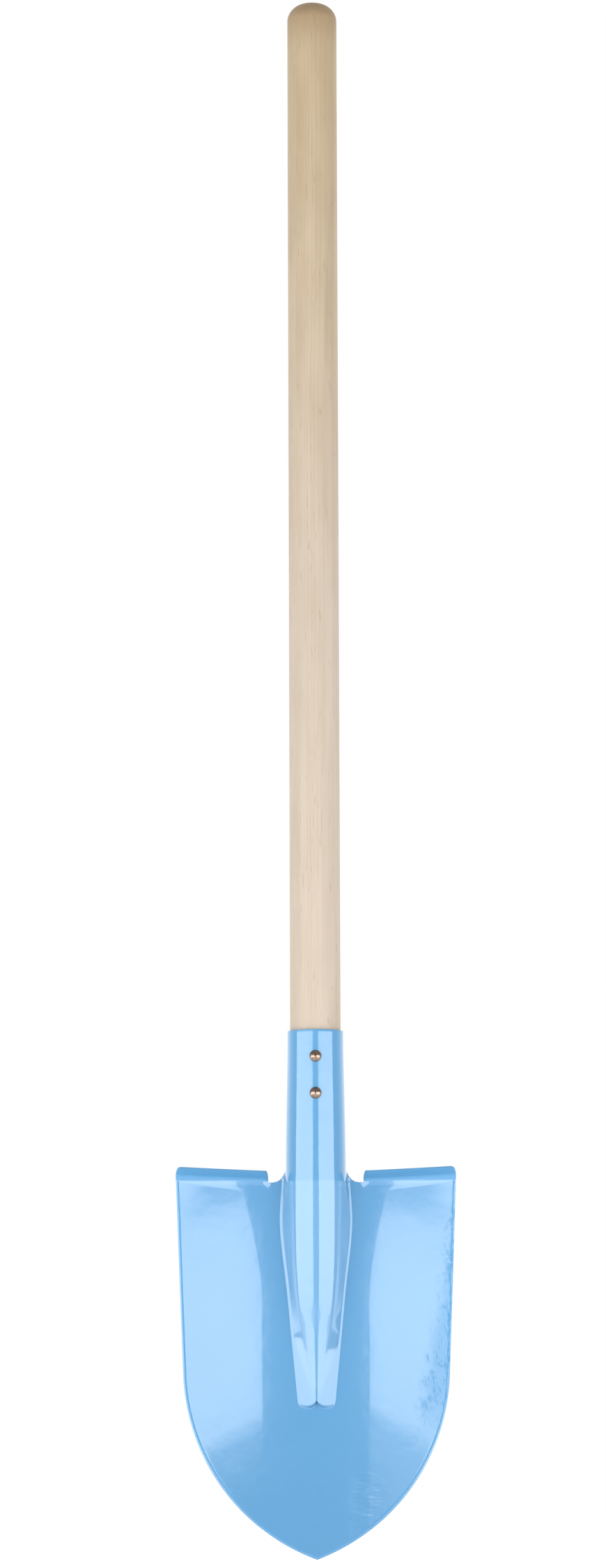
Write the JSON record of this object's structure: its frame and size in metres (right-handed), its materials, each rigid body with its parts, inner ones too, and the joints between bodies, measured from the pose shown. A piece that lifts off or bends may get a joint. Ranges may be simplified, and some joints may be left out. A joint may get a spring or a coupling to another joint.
{
  "type": "childrens spade",
  "caption": "Small digging spade: pointed dished steel blade with foot treads, raised frog and rolled socket, on a straight round wooden shaft with a rounded end.",
  "frame": {"origin": "on the shaft's axis, level with the blade's point", "axes": "+Z along the shaft from the blade's point to the shaft's rounded end, -Y towards the concave front of the blade, +X to the right seen from the front"},
  "size_m": [0.141, 0.0362, 0.8],
  "materials": {
    "blue_paint": "gloss enamel on pressed steel",
    "pale_wood": "smooth turned hardwood, clear matt seal",
    "copper": "copper coloured, polished domes"
  },
  "bodies": {
    "root": {"blade": "blue_paint", "shaft": "pale_wood", "upper_rivet": "copper", "lower_rivet": "copper"}
  },
  "joints": []
}
